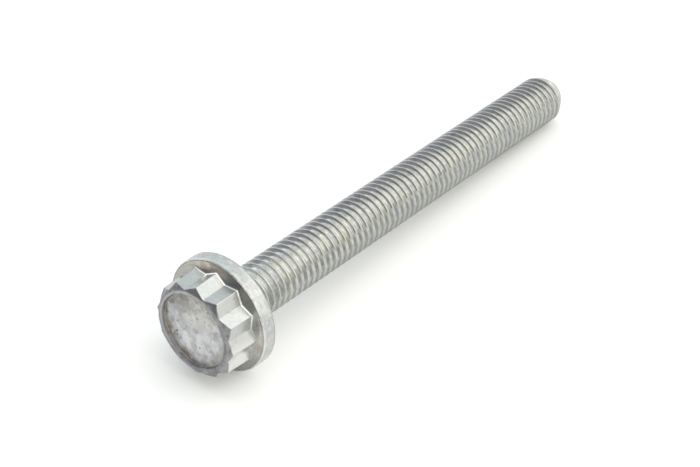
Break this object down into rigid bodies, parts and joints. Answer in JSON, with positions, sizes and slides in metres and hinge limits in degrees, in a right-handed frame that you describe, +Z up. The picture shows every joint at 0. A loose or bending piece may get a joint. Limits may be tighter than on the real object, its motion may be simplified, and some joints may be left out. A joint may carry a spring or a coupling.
{
  "type": "flange bolt",
  "caption": "One-piece flange bolt with a bi-hexagon drive, a dished crown, a round flange and a long fully threaded shank with a tapered point.",
  "frame": {"origin": "under the middle of the bolt's overall box, on the surface that it lies on", "axes": "+X along the bolt's length, from the head towards the point; +Z up; the bolt's own axis dips 3.47 degrees towards +X, because it lies on the flange's rim and the last full thread"},
  "size_m": [0.0876, 0.0174, 0.0175],
  "materials": {
    "zinc_plated_steel": "bright zinc plate, lightly scuffed"
  },
  "bodies": {
    "root": {"flange_bolt": "zinc_plated_steel"}
  },
  "joints": []
}
